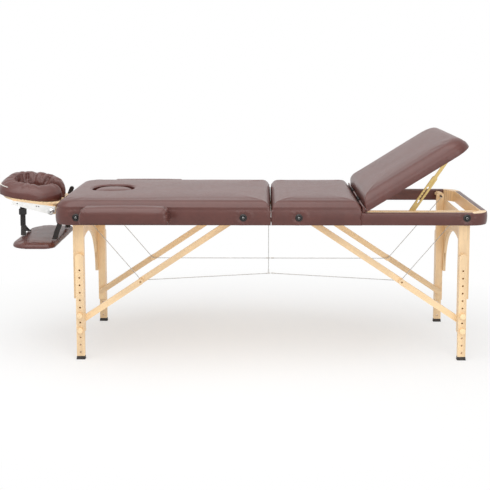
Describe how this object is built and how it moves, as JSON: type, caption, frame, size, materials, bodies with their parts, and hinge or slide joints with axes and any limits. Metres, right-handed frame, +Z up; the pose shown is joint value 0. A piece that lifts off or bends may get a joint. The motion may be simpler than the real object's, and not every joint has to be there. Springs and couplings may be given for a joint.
{
  "type": "folding massage table",
  "caption": "Folding padded massage table on wooden arched legs, with lifting back, side armrests, face cradle and hanging arm shelf.",
  "frame": {"origin": "On the floor, under the middle of the whole table's box.", "axes": "+X along the table from the head end to the foot end, +Y across it, +Z up."},
  "size_m": [2.1686, 0.816, 0.9642],
  "materials": {
    "frame_wood": "satin lacquered beech",
    "plywood": "plain birch plywood",
    "leg_wood": "satin lacquered beech",
    "leather": "soft brown upholstery leather",
    "rubber": "matt black rubber",
    "black_steel": "black satin",
    "steel": "zinc plated",
    "yellow_zinc": "yellow zinc plated",
    "cable_steel": "stranded steel",
    "black_plastic": "moulded black",
    "webbing": "woven black webbing"
  },
  "bodies": {
    "head_half": {"head_side_rails": "frame_wood", "head_cross_rails": "frame_wood", "head_corner_blocks": "frame_wood", "head_deck": "plywood", "head_pad": "leather", "head_pivot_bolts": "black_steel", "head_hinge_leaves": "steel", "head_cables": "cable_steel"},
    "hinge_pins": {"centre_hinge_pins": "steel", "foot_cables": "cable_steel"},
    "seat_half": {"seat_side_rails": "frame_wood", "seat_cross_rails": "frame_wood", "foot_corner_blocks": "frame_wood", "seat_deck": "plywood", "seat_pad": "leather", "foot_pivot_bolts": "black_steel", "seat_hinge_leaves": "steel", "seat_fittings": "steel"},
    "face_plug": {"face_plug": "leather"},
    "far_armrest": {"far_armrest_board": "leg_wood", "far_armrest_pad": "leather"},
    "near_armrest": {"near_armrest_board": "leg_wood", "near_armrest_pad": "leather"},
    "backrest": {"backrest_board": "plywood", "backrest_pad": "leather", "backrest_fittings": "steel"},
    "strut_channels": {"strut_channels": "yellow_zinc"},
    "strut_bars": {"strut_bars": "yellow_zinc"},
    "cradle_base": {"cradle_base": "leg_wood", "cradle_axle": "steel", "shelf_straps": "webbing"},
    "cam_lever": {"cam_lever": "black_plastic"},
    "cradle_head": {"cradle_platform": "leg_wood", "cradle_cushion": "leather", "strap_buckle": "black_plastic"},
    "arm_shelf": {"arm_shelf": "leather"},
    "head_leg_frame": {"head_legs": "leg_wood", "head_arch_panel": "leg_wood"},
    "head_lower_braces": {"head_lower_braces": "leg_wood"},
    "head_upper_braces": {"head_upper_braces": "leg_wood"},
    "head_far_extension": {"head_far_extension": "leg_wood", "head_far_foot_cap": "rubber"},
    "head_far_lower_knob": {"head_far_lower_knob": "leg_wood"},
    "head_far_upper_knob": {"head_far_upper_knob": "leg_wood"},
    "head_near_extension": {"head_near_extension": "leg_wood", "head_near_foot_cap": "rubber"},
    "head_near_lower_knob": {"head_near_lower_knob": "leg_wood"},
    "head_near_upper_knob": {"head_near_upper_knob": "leg_wood"},
    "foot_leg_frame": {"foot_legs": "leg_wood", "foot_arch_panel": "leg_wood"},
    "foot_lower_braces": {"foot_lower_braces": "leg_wood"},
    "foot_upper_braces": {"foot_upper_braces": "leg_wood"},
    "foot_far_extension": {"foot_far_extension": "leg_wood", "foot_far_foot_cap": "rubber"},
    "foot_far_lower_knob": {"foot_far_lower_knob": "leg_wood"},
    "foot_far_upper_knob": {"foot_far_upper_knob": "leg_wood"},
    "foot_near_extension": {"foot_near_extension": "leg_wood", "foot_near_foot_cap": "rubber"},
    "foot_near_lower_knob": {"foot_near_lower_knob": "leg_wood"},
    "foot_near_upper_knob": {"foot_near_upper_knob": "leg_wood"}
  },
  "joints": [
    {"name": "fold_first", "type": "hinge", "parent": "head_half", "child": "hinge_pins", "pos_m": [0.15927, 0, 0.6035], "axis": [0, 1, 0], "range_deg": [0, 90], "deforming": ["head_cables", "foot_cables"]},
    {"name": "fold_close", "type": "hinge", "parent": "hinge_pins", "child": "seat_half", "pos_m": [0.15927, 0, 0.6035], "axis": [0, 1, 0], "range_deg": [0, 90]},
    {"name": "head_legs_fold", "type": "hinge", "parent": "head_half", "child": "head_leg_frame", "pos_m": [-0.66873, 0, 0.636], "axis": [0, -1, 0], "range_deg": [0, 90]},
    {"name": "head_upper_brace_fold", "type": "hinge", "parent": "head_half", "child": "head_upper_braces", "pos_m": [0.04127, 0, 0.636], "axis": [0, 1, 0], "range_deg": [0, 33.73]},
    {"name": "head_lower_brace_fold", "type": "hinge", "parent": "head_leg_frame", "child": "head_lower_braces", "pos_m": [-0.66873, 0, 0.162], "axis": [0, -1, 0], "range_deg": [0, 56.27]},
    {"name": "head_far_height", "type": "slide", "parent": "head_leg_frame", "child": "head_far_extension", "axis": [0, 0, 1], "range_m": [-0.099, 0.099]},
    {"name": "head_far_lower_knob_turn", "type": "hinge", "parent": "head_leg_frame", "child": "head_far_lower_knob", "pos_m": [-0.66873, 0.266, 0.131], "axis": [0, 1, 0], "continuous": true},
    {"name": "head_far_upper_knob_turn", "type": "hinge", "parent": "head_leg_frame", "child": "head_far_upper_knob", "pos_m": [-0.66873, 0.266, 0.197], "axis": [0, 1, 0], "continuous": true},
    {"name": "head_near_height", "type": "slide", "parent": "head_leg_frame", "child": "head_near_extension", "axis": [0, 0, 1], "range_m": [-0.099, 0.099]},
    {"name": "head_near_lower_knob_turn", "type": "hinge", "parent": "head_leg_frame", "child": "head_near_lower_knob", "pos_m": [-0.66873, -0.266, 0.131], "axis": [0, -1, 0], "continuous": true},
    {"name": "head_near_upper_knob_turn", "type": "hinge", "parent": "head_leg_frame", "child": "head_near_upper_knob", "pos_m": [-0.66873, -0.266, 0.197], "axis": [0, -1, 0], "continuous": true},
    {"name": "foot_legs_fold", "type": "hinge", "parent": "seat_half", "child": "foot_leg_frame", "pos_m": [0.98727, 0, 0.636], "axis": [0, 1, 0], "range_deg": [0, 90]},
    {"name": "foot_upper_brace_fold", "type": "hinge", "parent": "seat_half", "child": "foot_upper_braces", "pos_m": [0.27727, 0, 0.636], "axis": [0, -1, 0], "range_deg": [0, 33.73]},
    {"name": "foot_lower_brace_fold", "type": "hinge", "parent": "foot_leg_frame", "child": "foot_lower_braces", "pos_m": [0.98727, 0, 0.162], "axis": [0, 1, 0], "range_deg": [0, 56.27]},
    {"name": "foot_far_height", "type": "slide", "parent": "foot_leg_frame", "child": "foot_far_extension", "axis": [0, 0, 1], "range_m": [-0.099, 0.099]},
    {"name": "foot_far_lower_knob_turn", "type": "hinge", "parent": "foot_leg_frame", "child": "foot_far_lower_knob", "pos_m": [0.98727, 0.266, 0.131], "axis": [0, 1, 0], "continuous": true},
    {"name": "foot_far_upper_knob_turn", "type": "hinge", "parent": "foot_leg_frame", "child": "foot_far_upper_knob", "pos_m": [0.98727, 0.266, 0.197], "axis": [0, 1, 0], "continuous": true},
    {"name": "foot_near_height", "type": "slide", "parent": "foot_leg_frame", "child": "foot_near_extension", "axis": [0, 0, 1], "range_m": [-0.099, 0.099]},
    {"name": "foot_near_lower_knob_turn", "type": "hinge", "parent": "foot_leg_frame", "child": "foot_near_lower_knob", "pos_m": [0.98727, -0.266, 0.131], "axis": [0, -1, 0], "continuous": true},
    {"name": "foot_near_upper_knob_turn", "type": "hinge", "parent": "foot_leg_frame", "child": "foot_near_upper_knob", "pos_m": [0.98727, -0.266, 0.197], "axis": [0, -1, 0], "continuous": true},
    {"name": "back_tilt", "type": "hinge", "parent": "seat_half", "child": "backrest", "pos_m": [0.54727, 0, 0.688], "axis": [0, -1, 0], "range_deg": [-32, 8]},
    {"name": "strut_channel_swing", "type": "hinge", "parent": "seat_half", "child": "strut_channels", "pos_m": [0.77527, 0, 0.632], "axis": [0, -1, 0], "range_deg": [-51.97, 12.99]},
    {"name": "strut_bar_swing", "type": "hinge", "parent": "backrest", "child": "strut_bars", "pos_m": [0.95216, 0, 0.89301], "axis": [0, -1, 0], "range_deg": [-19.97, 4.99]},
    {"name": "plug_lift", "type": "slide", "parent": "head_half", "child": "face_plug", "axis": [0, 0, 1], "range_m": [0, 0.12]},
    {"name": "far_armrest_slide", "type": "slide", "parent": "head_half", "child": "far_armrest", "axis": [0, 1, 0], "range_m": [0, 0.05]},
    {"name": "near_armrest_slide", "type": "slide", "parent": "head_half", "child": "near_armrest", "axis": [0, -1, 0], "range_m": [0, 0.05]},
    {"name": "cradle_slide", "type": "slide", "parent": "head_half", "child": "cradle_base", "axis": [-1, 0, 0], "range_m": [0, 0.08]},
    {"name": "cradle_tilt", "type": "hinge", "parent": "cradle_base", "child": "cradle_head", "pos_m": [-0.81573, 0, 0.63], "axis": [0, 1, 0], "range_deg": [-20, 20]},
    {"name": "cam_lever_flip", "type": "hinge", "parent": "cradle_base", "child": "cam_lever", "pos_m": [-0.81573, 0.156, 0.63], "axis": [-0.9135, 0, 0.4067], "range_deg": [0, 90]},
    {"name": "shelf_height", "type": "slide", "parent": "cradle_base", "child": "arm_shelf", "axis": [0, 0, 1], "range_m": [0, 0.08], "deforming": ["shelf_straps"]}
  ],
  "couplings": [
    {"joint": "head_legs_fold", "follows": "fold_first", "ratio": 1},
    {"joint": "head_upper_brace_fold", "follows": "fold_first", "ratio": 0.37475},
    {"joint": "head_lower_brace_fold", "follows": "fold_first", "ratio": 0.62525},
    {"joint": "foot_legs_fold", "follows": "fold_first", "ratio": 1},
    {"joint": "foot_upper_brace_fold", "follows": "fold_first", "ratio": 0.37475},
    {"joint": "foot_lower_brace_fold", "follows": "fold_first", "ratio": 0.62525},
    {"joint": "strut_channel_swing", "follows": "back_tilt", "ratio": 1.624},
    {"joint": "strut_bar_swing", "follows": "back_tilt", "ratio": 0.62397}
  ]
}
